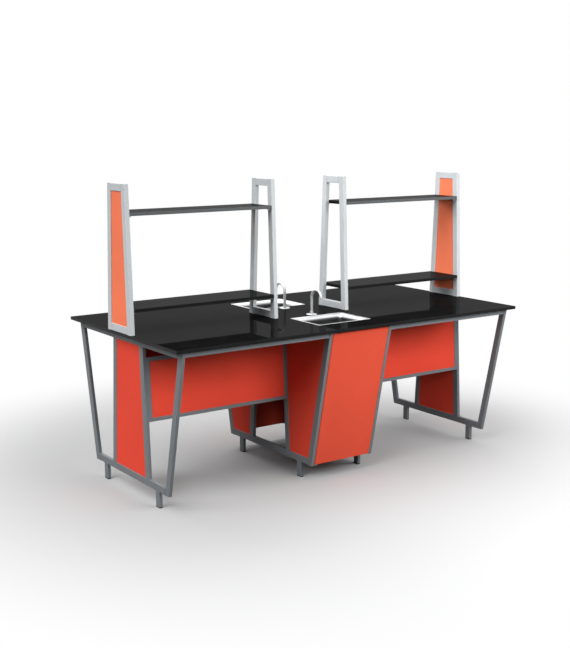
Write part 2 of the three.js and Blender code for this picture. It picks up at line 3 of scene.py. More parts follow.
import bpy
import numpy as np
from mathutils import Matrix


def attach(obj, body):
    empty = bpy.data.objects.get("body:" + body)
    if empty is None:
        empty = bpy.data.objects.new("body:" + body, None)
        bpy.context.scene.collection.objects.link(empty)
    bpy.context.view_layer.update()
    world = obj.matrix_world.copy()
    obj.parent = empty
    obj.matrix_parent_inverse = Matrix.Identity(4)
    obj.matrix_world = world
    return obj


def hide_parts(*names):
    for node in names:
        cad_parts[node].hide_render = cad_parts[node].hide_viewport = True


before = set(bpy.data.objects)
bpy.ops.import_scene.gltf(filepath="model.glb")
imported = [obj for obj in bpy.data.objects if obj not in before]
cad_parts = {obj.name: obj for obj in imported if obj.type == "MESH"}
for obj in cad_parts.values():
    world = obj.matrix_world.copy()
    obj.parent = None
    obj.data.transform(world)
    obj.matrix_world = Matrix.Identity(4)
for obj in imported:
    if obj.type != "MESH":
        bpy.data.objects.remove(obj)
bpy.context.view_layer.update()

# Camera
# It stands in front of the left corner of the bench, a little above eye level, and looks down slightly.
# Its place and angles were solved from the corners of the worktop, the uprights and the feet.
CAMERA_PLACE = (-3.8351, -5.2736, 1.9942)
CAMERA_YAW = 0.61585
CAMERA_DIP = 0.17785
CAMERA_LENS = 61.93
CAMERA_SENSOR = 36.0


def new_object(data):
    """An object of the same name for a mesh, a lamp or a camera, put into the scene."""
    made = bpy.data.objects.new(data.name, data)
    bpy.context.scene.collection.objects.link(made)
    return made


lens = bpy.data.cameras.new("camera")
lens.lens = CAMERA_LENS
lens.sensor_width = CAMERA_SENSOR
camera = new_object(lens)
camera.location = CAMERA_PLACE
camera.rotation_euler = (math.pi / 2 - CAMERA_DIP, 0.0, -CAMERA_YAW)
bpy.context.scene.camera = camera
bpy.context.scene.view_settings.view_transform = "Standard"

# Floor, light and white surroundings
# A wide pale floor takes the soft shadow and turns white further out. Broad lamps hang overhead, on the left
# and weakly behind, soft boxes stand in front, on the right and at the back over the worktop, and the camera
# and the gloss of the pieces see even white round about.
FLOOR_HALF = 40.0
FLOOR_TONE = (0.430, 0.433, 0.435)
FLOOR_RETURN = (0.09, 0.09, 0.09)
FLOOR_FADE = (1.35, 2.75)
FLOOR_ROUGHNESS = 0.9
AMBIENT = 0.12
LAMPS = {
    "overhead": (0.55, 90, (0, 0, 0)),
    "left": (0.85, 50, (48, 0, -80)),
    "behind": (0.34, 60, (46, 0, 175)),
}
SOFTBOXES = {
    "front": (90.0, (2.4, 1.4), (0.5, -3.3, 2.1), (66, 0, 7)),
    "right": (51.0, (2.4, 1.4), (3.4, -2.2, 2.1), (66, 0, 57)),
    "rear": (11.0, (0.6, 0.6), (-0.2, 1.0, 2.0), (67, 0, -126)),
}
# Places of the colour sockets on a mixing node
COLOUR_A, COLOUR_B, COLOUR_OUT = 6, 7, 2


def link(source, outlet, target, inlet):
    """Joins an outlet of one node to an inlet of another in the same tree."""
    source.id_data.links.new(source.outputs[outlet], target.inputs[inlet])


def add_node(tree, kind, **settings):
    """A new shader node of one kind, with its settings."""
    made = tree.nodes.new(f"ShaderNode{kind}")
    for setting, value in settings.items():
        setattr(made, setting, value)
    return made


def set_inlets(target, **values):
    """Gives inlets of a node their values. An underscore stands for each space in a name."""
    for inlet, value in values.items():
        target.inputs[inlet.replace("_", " ")].default_value = value


def seen_directly(tree):
    """A value of 1 for rays from the camera, from gloss and through glass, and 0 for other light."""
    path = add_node(tree, "LightPath")
    first = add_node(tree, "Math", operation="MAXIMUM")
    both = add_node(tree, "Math", operation="MAXIMUM")
    link(path, "Is Camera Ray", first, 0)
    link(path, "Is Glossy Ray", first, 1)
    link(first, 0, both, 0)
    link(path, "Is Transmission Ray", both, 1)
    return both


world = bpy.data.worlds.new("white_surroundings")
world.use_nodes = True
bpy.context.scene.world = world
sky = world.node_tree.nodes["Background"]
set_inlets(sky, Color=(1.0, 1.0, 1.0, 1.0))
strength = add_node(world.node_tree, "MapRange")
set_inlets(strength, To_Min=AMBIENT, To_Max=1.0)
link(seen_directly(world.node_tree), 0, strength, "Value")
link(strength, "Result", sky, "Strength")

for lamp_name, (level, spread, turn) in LAMPS.items():
    lamp = bpy.data.lights.new(lamp_name, "SUN")
    lamp.energy = level * math.pi
    lamp.angle = math.radians(spread)
    stand = new_object(lamp)
    stand.rotation_euler = [math.radians(angle) for angle in turn]

for box_name, (power, size, place, turn) in SOFTBOXES.items():
    lamp = bpy.data.lights.new(f"{box_name}_softbox", "AREA")
    lamp.shape = "RECTANGLE"
    lamp.size, lamp.size_y = size
    lamp.energy = power
    stand = new_object(lamp)
    stand.location = place
    stand.rotation_euler = [math.radians(angle) for angle in turn]
    stand.visible_glossy = False
    stand.visible_camera = False

floor_mesh = bpy.data.meshes.new("floor")
floor_corners = FLOOR_HALF * np.array([[-1, -1, 0], [1, -1, 0], [1, 1, 0], [-1, 1, 0]], float)
floor_mesh.from_pydata(floor_corners.tolist(), [], [(0, 1, 2, 3)])
floor = new_object(floor_mesh)
floor_paint = bpy.data.materials.new("pale_floor")
floor_paint.use_nodes = True
floor_tree = floor_paint.node_tree
floor_shader = floor_tree.nodes["Principled BSDF"]
set_inlets(floor_shader, Roughness=FLOOR_ROUGHNESS, Specular_IOR_Level=0.0)
floor_seen = seen_directly(floor_tree)
floor_colour = add_node(floor_tree, "Mix", data_type="RGBA")
floor_colour.inputs[COLOUR_A].default_value = (*FLOOR_RETURN, 1.0)
floor_colour.inputs[COLOUR_B].default_value = (*FLOOR_TONE, 1.0)
link(floor_seen, 0, floor_colour, 0)
link(floor_colour, COLOUR_OUT, floor_shader, "Base Color")
floor_place = add_node(floor_tree, "TexCoord")
floor_reach = add_node(floor_tree, "VectorMath", operation="LENGTH")
floor_fade = add_node(floor_tree, "MapRange", interpolation_type="SMOOTHSTEP")
set_inlets(floor_fade, From_Min=FLOOR_FADE[0], From_Max=FLOOR_FADE[1])
floor_white = add_node(floor_tree, "Emission")
floor_share = add_node(floor_tree, "Math", operation="MULTIPLY")
floor_mix = add_node(floor_tree, "MixShader")
link(floor_place, "Object", floor_reach, 0)
link(floor_reach, "Value", floor_fade, "Value")
link(floor_fade, "Result", floor_share, 0)
link(floor_seen, 0, floor_share, 1)
link(floor_share, 0, floor_mix, "Fac")
link(floor_shader, "BSDF", floor_mix, 1)
link(floor_white, "Emission", floor_mix, 2)
link(floor_mix, "Shader", floor_tree.nodes["Material Output"], "Surface")
floor_mesh.materials.append(floor_paint)

# Trestles
# Four welded frames of 40 x 20 mm steel tube: two splayed legs, two leaning posts, a top and a bottom
# rail and two short feet, with a weld bead along each joint, powder coated in mid grey.
TUBE_FACE = 0.040
TUBE_DEPTH = 0.020
TUBE_CORNER = 0.0025
UNDERSIDE = 0.882
LOW_RAIL = 0.090
LEG_HIGH, LEG_LOW = 0.588, 0.421
POST_HIGH, POST_LOW = 0.165, 0.212
FOOT_REACH = 0.321
GLIDE_TOP = 0.006
LEG_SLOPE = (LEG_HIGH - LEG_LOW) / (UNDERSIDE - LOW_RAIL)
POST_SLOPE = (POST_LOW - POST_HIGH) / (UNDERSIDE - LOW_RAIL)
LEG_ANGLE = math.atan(LEG_SLOPE)
POST_ANGLE = math.atan(POST_SLOPE)
LEG_ACROSS = TUBE_FACE / math.cos(LEG_ANGLE)
POST_ACROSS = TUBE_FACE / math.cos(POST_ANGLE)
TRESTLE_X = {"left_end": -1.128, "left_mid": -0.209, "right_mid": 0.209, "right_end": 1.128}
BEAD_RADIUS = 0.0013
BEAD_PITCH = 0.0030
BEAD_SWELL = 0.14
BEAD_END = 0.3
BEAD_SIDES = 8
BEAD_STEPS, BEAD_FEWEST = 4, 8
BEAD_ASKEW = (0.31, 0.52, 0.79)
GREY_COAT = (0.168, 0.180, 0.191)
GREY_RUBBED = (0.255, 0.270, 0.283)
SMOOTH_ANGLE = math.radians(40)
GRAIN_DETAIL, GRAIN_SHARE = 3.0, 0.35
PATCH_DETAIL, PATCH_ROUGHNESS = 5.0, 0.62
FINISH_SPAN = (0.45, 0.90)
TONE_SPAN = (0.32, 0.68)
BUMP_DISTANCE = 0.0004


def leg_reach(z):
    """How far the outer face of a leg is from the middle plane of the bench at height z."""
    return LEG_LOW + LEG_SLOPE * (z - LOW_RAIL)


def inner_leg(z):
    """How far the inner face of a leg is from the middle plane at height z, one slanted tube width in."""
    return leg_reach(z) - LEG_ACROSS


def post_reach(z):
    """How far the outer face of a post is from the middle plane of the bench at height z."""
    return POST_LOW - POST_SLOPE * (z - LOW_RAIL)


def rounded_outline(width, depth, corner, steps=4):
    """Outline of a rounded rectangle: four quarter circles about the corner centres, joined by sides."""
    angle = (np.arange(4)[:, None] + np.linspace(0, 1, steps + 1)) * math.pi / 2
    sign_a = np.array([1, -1, -1, 1])[:, None]
    sign_b = np.array([1, 1, -1, -1])[:, None]
    a = sign_a * (width / 2 - corner) + corner * np.cos(angle)
    b = sign_b * (depth / 2 - corner) + corner * np.sin(angle)
    return np.stack([a, b], axis=-1).reshape(-1, 2)


def skin(rings, capped=True):
    """Points, faces and arris values of rings of equal length: each ring joins the next by quads,
    and the first and the last ring close with a flat face."""
    count, around = rings.shape[:2]
    index = np.arange(count * around).reshape(count, around)
    onward = np.roll(index, -1, axis=1)
    quads = np.stack([index[:-1], onward[:-1], onward[1:], index[1:]], axis=-1).reshape(-1, 4).tolist()
    caps = [index[0][::-1].tolist(), index[-1].tolist()] if capped else []
    return rings.reshape(-1, 3), quads + caps, np.zeros(count * around)


def unit(vector):
    """The vector at length 1."""
    return np.asarray(vector, float) / np.linalg.norm(vector)


def bar(outline, start, end, side, start_cut=None, end_cut=None, arris=None):
    """An outline carried along the line from start to end: its point (a, b) lies a along the side
    direction and b along the third axis, slid along the line to the cutting plane at each end."""
    start, end = np.asarray(start, float), np.asarray(end, float)
    along = unit(end - start)
    side = unit(np.asarray(side, float) - np.dot(side, along) * along)
    offset = outline @ np.stack([side, np.cross(along, side)])
    rings = []
    for point, normal in ((start, start_cut), (end, end_cut)):
        normal = along if normal is None else unit(normal)
        slide = -(offset @ normal) / (along @ normal)
        rings.append(point + offset + slide[:, None] * along)
    points, faces, plain = skin(np.stack(rings))
    return points, faces, plain if arris is None else np.tile(arris, 2)


def weld_bead(start, end):
    """A rippled round bead: a circle carried from start to end whose radius swells a little as a sine."""
    start, end = np.asarray(start, float), np.asarray(end, float)
    length = np.linalg.norm(end - start)
    travel = np.linspace(0, 1, max(int(length / BEAD_PITCH * BEAD_STEPS), BEAD_FEWEST))
    swell = BEAD_RADIUS * (1 + BEAD_SWELL * np.sin(travel * length / BEAD_PITCH * 2 * math.pi))
    swell[[0, -1]] = BEAD_RADIUS * BEAD_END
    along = unit(end - start)
    side = unit(np.cross(along, BEAD_ASKEW))
    turn = np.arange(BEAD_SIDES) * (2 * math.pi / BEAD_SIDES)
    circle = np.cos(turn)[:, None] * side + np.sin(turn)[:, None] * np.cross(along, side)
    rings = start + travel[:, None, None] * (end - start) + swell[:, None, None] * circle
    return skin(rings)


def make_piece(name, parts, material, body, nodes):
    """One object from (points, faces, arris) parts, shaded smooth up to an angle, with the normals of its
    large faces kept flat. It rides on its body, takes its material and stands for its nodes, which it hides."""
    starts = np.cumsum([0] + [len(part[0]) for part in parts])
    faces = [[int(start) + k for k in face] for part, start in zip(parts, starts) for face in part[1]]
    mesh = bpy.data.meshes.new(name)
    mesh.from_pydata(np.concatenate([part[0] for part in parts]).tolist(), [], faces)
    attribute = mesh.attributes.new("arris", "FLOAT", "POINT")
    attribute.data.foreach_set("value", np.concatenate([part[2] for part in parts]).astype(np.float32))
    mesh.polygons.foreach_set("use_smooth", np.ones(len(faces), bool))
    mesh.set_sharp_from_angle(angle=SMOOTH_ANGLE)
    mesh.materials.append(material)
    made = new_object(mesh)
    flat = made.modifiers.new("flat_faces", "WEIGHTED_NORMAL")
    flat.keep_sharp = True
    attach(made, body)
    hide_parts(*nodes)


def group_sockets(tree, direction, names):
    """Adds named sockets to a node group: vectors where the name is Coordinates, values elsewhere."""
    for name in names:
        kind = "NodeSocketVector" if name == "Coordinates" else "NodeSocketFloat"
        tree.interface.new_socket(name, in_out=direction, socket_type=kind)


def finish_group():
    """Node group for any coated or moulded surface. Fine grain gives the height, slow patches give the
    tone, and both together set the roughness between its smooth and rough ends."""
    tree = bpy.data.node_groups.new("surface_finish", "ShaderNodeTree")
    group_sockets(tree, "INPUT", ["Coordinates", "Grain", "Patch", "Smooth", "Rough"])
    group_sockets(tree, "OUTPUT", ["Tone", "Roughness", "Height"])
    entry = tree.nodes.new("NodeGroupInput")
    leave = tree.nodes.new("NodeGroupOutput")
    grain = add_node(tree, "TexNoise")
    set_inlets(grain, Detail=GRAIN_DETAIL)
    patch = add_node(tree, "TexNoise")
    set_inlets(patch, Detail=PATCH_DETAIL, Roughness=PATCH_ROUGHNESS)
    both = add_node(tree, "Math", operation="MULTIPLY_ADD")
    both.inputs[1].default_value = GRAIN_SHARE
    spread = add_node(tree, "MapRange")
    set_inlets(spread, From_Min=FINISH_SPAN[0], From_Max=FINISH_SPAN[1])
    link(entry, "Coordinates", grain, "Vector")
    link(entry, "Grain", grain, "Scale")
    link(entry, "Coordinates", patch, "Vector")
    link(entry, "Patch", patch, "Scale")
    link(grain, 0, both, 0)
    link(patch, 0, both, 2)
    link(both, 0, spread, "Value")
    link(entry, "Smooth", spread, "To Min")
    link(entry, "Rough", spread, "To Max")
    link(patch, 0, leave, "Tone")
    link(spread, "Result", leave, "Roughness")
    link(grain, 0, leave, "Height")
    return tree


surface_finish = finish_group()


def coated(name, dark, light, grain, patch, smooth, rough, bump, wear_and_shade=None, **sockets):
    """A material from the surface finish: colour runs from dark to light with the patches, the grain
    raises the surface, and where the arris attribute is set the colour goes over to the wear-and-shade one
    where the patches allow: edge wear on arrises, and painted shade inside the sink bowls."""
    material = bpy.data.materials.new(name)
    material.use_nodes = True
    tree = material.node_tree
    shader = tree.nodes["Principled BSDF"]
    place = add_node(tree, "TexCoord")
    finish = add_node(tree, "Group", node_tree=surface_finish)
    set_inlets(finish, Grain=grain, Patch=patch, Smooth=smooth, Rough=rough)
    link(place, "Object", finish, "Coordinates")
    colours = add_node(tree, "ValToRGB")
    for stop, position, colour in zip(colours.color_ramp.elements, TONE_SPAN, (dark, light)):
        stop.position = position
        stop.color = (*colour, 1.0)
    link(finish, "Tone", colours, "Fac")
    colour_node, colour_outlet = colours, "Color"
    if wear_and_shade is not None:
        # The arris attribute holds edge wear, and in the sink bowls it holds the painted shade below the rim
        edge = add_node(tree, "Attribute", attribute_name="arris")
        wear_and_shade_share = add_node(tree, "Math", operation="MULTIPLY")
        mix = add_node(tree, "Mix", data_type="RGBA")
        mix.inputs[COLOUR_B].default_value = (*wear_and_shade, 1.0)
        link(edge, "Fac", wear_and_shade_share, 0)
        link(finish, "Tone", wear_and_shade_share, 1)
        link(wear_and_shade_share, 0, mix, 0)
        link(colours, "Color", mix, COLOUR_A)
        colour_node, colour_outlet = mix, COLOUR_OUT
    raised = add_node(tree, "Bump")
    set_inlets(raised, Strength=bump, Distance=BUMP_DISTANCE)
    link(finish, "Height", raised, "Height")
    link(colour_node, colour_outlet, shader, "Base Color")
    link(finish, "Roughness", shader, "Roughness")
    link(raised, "Normal", shader, "Normal")
    set_inlets(shader, **sockets)
    return material


def scaled(colour, factor):
    """The colour made lighter or darker by a factor."""
    return tuple(factor * channel for channel in colour)


def tones(colour, spread):
    """The dark and the light tone of a colour, a spread below and above it."""
    return scaled(colour, 1 - spread), scaled(colour, 1 + spread)


def arris_values(steps=4):
    """Arris value of each point of a rounded outline: 0 where a side begins, 1 in the middle of a corner."""
    return np.tile(np.sin(np.linspace(0, 1, steps + 1) * math.pi), 4)


def trestle_parts(x):
    """Bars and beads of one trestle whose tubes are centred on x."""
    tube = rounded_outline(TUBE_FACE, TUBE_DEPTH, TUBE_CORNER)
    wear_and_shade_share = arris_values()
    low_top, high_low = LOW_RAIL + TUBE_FACE, UNDERSIDE - TUBE_FACE
    across, upright = (0, 1, 0), (0, 0, 1)
    faces = (x - TUBE_DEPTH / 2, x + TUBE_DEPTH / 2)
    parts = []
    cuts = (0, 1, LEG_SLOPE), (0, -1, LEG_SLOPE)
    for middle in (LOW_RAIL + TUBE_FACE / 2, UNDERSIDE - TUBE_FACE / 2):
        ends = (x, -inner_leg(middle), middle), (x, inner_leg(middle), middle)
        parts.append(bar(tube, *ends, upright, *cuts, wear_and_shade_share))
    for sign in (-1, 1):
        leg = [(x, sign * (leg_reach(z) - LEG_ACROSS / 2), z) for z in (LOW_RAIL, UNDERSIDE)]
        post = [(x, sign * (post_reach(z) - POST_ACROSS / 2), z) for z in (low_top, high_low)]
        foot = [(x, sign * (FOOT_REACH - TUBE_FACE / 2), z) for z in (GLIDE_TOP, LOW_RAIL)]
        for line in (leg, post, foot):
            parts.append(bar(tube, *line, across, upright, upright, wear_and_shade_share))
        for face in faces:
            seams = [[(sign * inner_leg(z), z) for z in (LOW_RAIL, low_top)]]
            seams.append([(sign * inner_leg(z), z) for z in (high_low, UNDERSIDE)])
            seams.append([(sign * (FOOT_REACH - t), LOW_RAIL) for t in (0, TUBE_FACE)])
            for z in (low_top, high_low):
                seams.append([(sign * (post_reach(z) - t), z) for t in (0, POST_ACROSS)])
            parts.extend(weld_bead(*[(face, y, z) for y, z in seam]) for seam in seams)
    return parts


grey_coat = coated("grey_powder_coat", *tones(GREY_COAT, 0.06), grain=900.0, patch=5.0, smooth=0.36,
                   rough=0.52, bump=0.10, wear_and_shade=GREY_RUBBED, Specular_IOR_Level=0.12)
for name, x in TRESTLE_X.items():
    node = f"{name}_trestle"
    make_piece(f"{node}_tubes", trestle_parts(x), grey_coat, "bench", [node])

# Glides
# Moulded black plastic: a rounded pad that stands on the floor, with a plug above it that is pressed into the
# open end of a trestle foot.
GLIDE_CORNER = 0.003
GLIDE_ARRIS = 0.0015
GLIDE_PLUG = 0.024
GLIDE_WALL = 0.0033
SIDES = (("front", -1, ("left", "right")), ("rear", 1, ("right", "left")))


def inset_loop(corners, normal, distance):
    """Corners of a flat convex outline drawn in by a distance: each moves along the sum of the inward
    normals of its two sides, divided by one plus their product."""
    side = np.roll(corners, -1, axis=0) - corners
    inward = np.cross(normal, side)
    inward /= np.linalg.norm(inward, axis=1)[:, None]
    before = np.roll(inward, 1, axis=0)
    share = 1 + np.sum(inward * before, axis=1)[:, None]
    return corners + distance * (inward + before) / share


def board(corners, normal, thickness, arris, steps=3):
    """A flat board: the outline carried along its normal, drawn in along a quarter circle at both faces."""
    corners, normal = np.asarray(corners, float), unit(normal)
    turn = np.linspace(0, math.pi / 2, steps + 1)
    draw = arris * (1 - np.sin(turn))
    rise = arris * (1 - np.cos(turn))
    insets = np.concatenate([draw, draw[::-1]])
    heights = np.concatenate([rise, thickness - rise[::-1]])
    rings = np.stack([inset_loop(corners, normal, d) + h * normal for d, h in zip(insets, heights)])
    points, faces, _ = skin(rings)
    wear_and_shade_share = np.repeat(np.sin(np.concatenate([turn, turn[::-1]]) * 2), len(corners))
    return points, faces, wear_and_shade_share


black_plastic = coated("black_plastic", (0.008, 0.008, 0.0085), (0.014, 0.014, 0.0145), grain=1400.0,
                       patch=9.0, smooth=0.42, rough=0.60, bump=0.16, wear_and_shade=(0.05, 0.05, 0.05))


def upright_loop(outline, x, y, z):
    """An outline laid flat at height z about the point (x, y)."""
    return np.column_stack([x + outline[:, 0], y + outline[:, 1], np.full(len(outline), z)])


for name, x in TRESTLE_X.items():
    for side, sign, _ in SIDES:
        y = sign * (FOOT_REACH - TUBE_FACE / 2)
        pad = rounded_outline(TUBE_DEPTH, TUBE_FACE, GLIDE_CORNER)
        plug = rounded_outline(TUBE_DEPTH - 2 * GLIDE_WALL, TUBE_FACE - 2 * GLIDE_WALL, GLIDE_ARRIS)
        parts = [board(upright_loop(pad, x, y, 0.0), (0, 0, 1), GLIDE_TOP, GLIDE_ARRIS)]
        parts.append(board(upright_loop(plug, x, y, GLIDE_TOP), (0, 0, 1), GLIDE_PLUG, GLIDE_ARRIS / 2))
        node = f"{name}_{side}_glide"
        make_piece(f"{node}_moulding", parts, black_plastic, "bench", [node])

# Long rails
# Steel tubes of 30 x 20 mm that tie the trestles together under both long edges of the worktop,
# welded between the legs and coated with them.
RAIL_HEIGHT, RAIL_DEPTH = 0.030, 0.020
RAIL_REACH = 0.580
GAP = 0.0003


def bay_spans(frames, depth):
    """Clear span of the left and of the right bay, between frames of one depth at the given places."""
    half = depth / 2
    return {
        "left": (frames["left_end"] + half, frames["left_mid"] - half),
        "right": (frames["right_mid"] + half, frames["right_end"] - half),
    }


BAYS = bay_spans(TRESTLE_X, TUBE_DEPTH)
rail_outline = rounded_outline(RAIL_DEPTH, RAIL_HEIGHT, TUBE_CORNER)
for side, sign, bays in SIDES:
    for bay in bays:
        left, right = BAYS[bay]
        y = sign * (RAIL_REACH - RAIL_DEPTH / 2)
        z = UNDERSIDE - RAIL_HEIGHT / 2
        parts = [bar(rail_outline, (left + GAP, y, z), (right - GAP, y, z), (0, 1, 0), arris=arris_values())]
        edge = sign * RAIL_REACH
        for x in (left + GAP, right - GAP):
            parts.append(weld_bead((x, edge, UNDERSIDE - RAIL_HEIGHT), (x, edge, UNDERSIDE)))
        node = f"{side}_{bay}_rail"
        make_piece(f"{node}_tube", parts, grey_coat, "bench", [node])

# Boards in the trestles
# Red laminate on 16 mm board: one between the posts of each end trestle, and one between post and leg
# on each side of the two middle trestles. They sit 2 mm behind the outer face of the tubes.
BOARD_THICKNESS = 0.016
BOARD_RECESS = 0.002
BOARD_ARRIS = 0.0008
RED_LAMINATE = (0.810, 0.074, 0.043)


def laminate(name, colour):
    """Matt laminate of one colour with slow changes of tone, a fine pearl grain and darker arrises."""
    return coated(name, *tones(colour, 0.04), grain=1300.0, patch=3.0, smooth=0.38, rough=0.50, bump=0.07,
                  wear_and_shade=scaled(colour, 0.6), Specular_IOR_Level=0.02)


red_laminate = laminate("red_laminate", RED_LAMINATE)


def across_x(corners, x):
    """Corners given as (y, z) pairs, set in the plane at x."""
    return np.insert(np.asarray(corners, float), 0, x, axis=1)


low, high = LOW_RAIL + TUBE_FACE + GAP, UNDERSIDE - TUBE_FACE - GAP
for name, x in TRESTLE_X.items():
    face = x - TUBE_DEPTH / 2 + BOARD_RECESS
    if name.endswith("end"):
        reach = {z: post_reach(z) - POST_ACROSS - GAP for z in (low, high)}
        corners = [(-reach[low], low), (reach[low], low), (reach[high], high), (-reach[high], high)]
        boards = [(f"{name}_panel", corners)]
    else:
        boards = []
        for side, sign, _ in SIDES:
            inner = {z: post_reach(z) + GAP for z in (low, high)}
            outer = {z: inner_leg(z) - GAP for z in (low, high)}
            corners = [(inner[low], low), (outer[low], low), (outer[high], high), (inner[high], high)]
            corners = corners if sign > 0 else [(-y, z) for y, z in corners[::-1]]
            boards.append((f"{name}_{side}_side_panel", corners))
    for node, corners in boards:
        part = board(across_x(corners, face), (1, 0, 0), BOARD_THICKNESS, BOARD_ARRIS)
        make_piece(f"{node}_board", [part], red_laminate, "bench", [node])

# Modesty frames and boards
# Square 20 mm tube welded into a frame across each bay, leaning with the posts and flush with their outer
# faces, coated grey, with a red laminate board let into it.
MODESTY_LOW, MODESTY_HIGH = 0.437, 0.781
MODESTY_TUBE = 0.020
MODESTY_CORNER = 0.0018


def turned_side(points, sign):
    """Points of a front piece, turned half round for the rear side."""
    return points if sign < 0 else points * np.array([-1, -1, 1])


def leaning_points(points, sign, foot, angle):
    """Points (along, depth, up) of a front plane that leans by an angle about its foot line, turned half
    round for the rear side."""
    along, depth, up = np.asarray(points, float).T
    y = -foot[0] + depth * math.cos(angle) - up * math.sin(angle)
    z = foot[1] + depth * math.sin(angle) + up * math.cos(angle)
    return turned_side(np.column_stack([along, y, z]), sign)


modesty_outline = rounded_outline(MODESTY_TUBE, MODESTY_TUBE, MODESTY_CORNER)
modesty_foot = (post_reach(MODESTY_LOW), MODESTY_LOW)
for side, sign, bays in SIDES:
    for bay, (left, right) in zip(bays, BAYS.values()):
        tall = (MODESTY_HIGH - MODESTY_LOW) / math.cos(POST_ANGLE)
        half = MODESTY_TUBE / 2
        west, east = left + GAP + half, right - GAP - half
        places = [(west, half), (east, half), (east, tall - half), (west, tall - half)]
        middle = [(along, half, up) for along, up in places]
        middle = leaning_points(middle, sign, modesty_foot, -POST_ANGLE)
        out = unit(np.cross(middle[1] - middle[0], middle[3] - middle[0]))
        parts = []
        for k in range(4):
            start, end = middle[k], middle[(k + 1) % 4]
            onward = unit(end - start)
            before = unit(start - middle[k - 1])
            after = unit(middle[(k + 2) % 4] - end)
            cuts = onward + before, onward + after
            parts.append(bar(modesty_outline, start, end, out, *cuts, arris_values()))
        node = f"{side}_{bay}_modesty_frame"
        make_piece(f"{node}_tubes", parts, grey_coat, "bench", [node])
        inset = MODESTY_TUBE + GAP
        low, high = inset, tall - inset
        west, east = left + GAP + inset, right - GAP - inset
        back = BOARD_RECESS + BOARD_THICKNESS
        corners = [(west, back, low), (east, back, low), (east, back, high), (west, back, high)]
        corners = leaning_points(corners, sign, modesty_foot, -POST_ANGLE)
        normal = np.cross(corners[1] - corners[0], corners[2] - corners[1])
        node = f"{side}_{bay}_modesty_panel"
        part = board(corners, normal, BOARD_THICKNESS, BOARD_ARRIS)
        make_piece(f"{node}_board", [part], red_laminate, "bench", [node])

# Sink doors and their pivots
# An 18 mm red laminate door closes the sink space on each side, flush with the sloping legs. Its hinge
# edge is a full round about two steel pins on small plates that are coated with the legs.
DOOR_THICKNESS = 0.018
DOOR_HALF = 0.197
DOOR_LOW, DOOR_HIGH = 0.095, 0.872
DOOR_ARRIS = 0.0009
DOOR_EDGE = 0.0015
HINGE_POINTS, FREE_POINTS = 15, 4
# The doors take a lighter, more orange copy of the red laminate: painted light for the stronger light on the
# doors
LIT_DOOR_LAMINATE = (0.755, 0.092, 0.049)


def on_circle(turn):
    """Points of a circle of radius 1 at the given angles."""
    return np.column_stack([np.cos(turn), np.sin(turn)])


lit_door_laminate = laminate("lit_door_laminate", LIT_DOOR_LAMINATE)
door_foot = (leg_reach(DOOR_LOW), DOOR_LOW)
hinge_turn = np.linspace(math.pi / 2, math.pi * 3 / 2, HINGE_POINTS)
free_turn = np.linspace(0, math.pi / 2, FREE_POINTS)
round_edge = DOOR_THICKNESS / 2
free_x, free_y = DOOR_HALF - DOOR_EDGE, DOOR_THICKNESS - DOOR_EDGE
door_outline = np.concatenate([
    DOOR_EDGE * on_circle(free_turn - math.pi / 2) + (free_x, DOOR_EDGE),
    DOOR_EDGE * on_circle(free_turn) + (free_x, free_y),
    round_edge * on_circle(hinge_turn) + (round_edge - DOOR_HALF, round_edge),
])
for side, sign, _ in SIDES:
    tall = (DOOR_HIGH - DOOR_LOW) / math.cos(LEG_ANGLE)
    corners = np.column_stack([door_outline, np.zeros(len(door_outline))])
    corners = leaning_points(corners, sign, door_foot, LEG_ANGLE)
    top = leaning_points([(0, 0, 0), (0, 0, 1)], sign, door_foot, LEG_ANGLE)
    part = board(corners, top[1] - top[0], tall, DOOR_ARRIS)
    node = f"{side}_sink_door"
    make_piece(f"{node}_leaf", [part], lit_door_laminate, f"{side}_door", [node])
    for level in ("lower", "upper"):
        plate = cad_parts[f"{side}_door_{level}_pivot"]
        plate.data.materials.clear()
        plate.data.materials.append(grey_coat)

# Worktop
# One 18 mm board of polished black resin laminate with eased edges, cut out for two sinks and two taps.
# The cut-outs hide under the sink flanges and the discs of the taps.
TOP = 0.900
TOP_HALF_X, TOP_HALF_Y = 1.185, 0.6125
TOP_THICKNESS = 0.018
TOP_EASE, EASE_SEGMENTS = 0.0015, 3
EASE_ANGLE = math.radians(60)
SINK_X = -0.009
SINK_HALF_X, SINK_HALF_Y = 0.185, 0.1375
SINK_REACH = 0.316
SINK_SEAT = 0.008
TAP_REACH = 0.136
TAP_HOLE = 0.0135
cuts_x = SINK_X + np.array([SINK_SEAT - SINK_HALF_X, -TAP_HOLE, TAP_HOLE, SINK_HALF_X - SINK_SEAT])
grid_x = np.concatenate([[-TOP_HALF_X], cuts_x, [TOP_HALF_X]])
cuts_y = np.array([SINK_REACH + SINK_HALF_Y - SINK_SEAT, SINK_REACH - SINK_HALF_Y + SINK_SEAT])
cuts_y = np.concatenate([cuts_y, TAP_REACH + TAP_HOLE * np.array([1, -1])])
grid_y = np.concatenate([[-TOP_HALF_Y], -cuts_y, cuts_y[::-1], [TOP_HALF_Y]])


def black_board(name, coat, smooth, rough):
    """Polished black: a dark body with slow changes of tone and paler arrises under a thin clear coat."""
    return coated(name, (0.0040, 0.0040, 0.0041), (0.0070, 0.0070, 0.0071), grain=2200.0, patch=7.0,
                  smooth=smooth, rough=rough, bump=0.015, wear_and_shade=(0.03, 0.03, 0.03), Specular_IOR_Level=0.0,
                  Coat_Weight=coat, Coat_Roughness=0.03, Coat_IOR=1.5)


def board_edge(name, dark, light, gloss):
    """The plain edge of a black board: two tones with a fine grain and little gloss."""
    return coated(name, dark, light, grain=1500.0, patch=8.0, smooth=0.35, rough=0.5, bump=0.03,
                  Specular_IOR_Level=gloss)


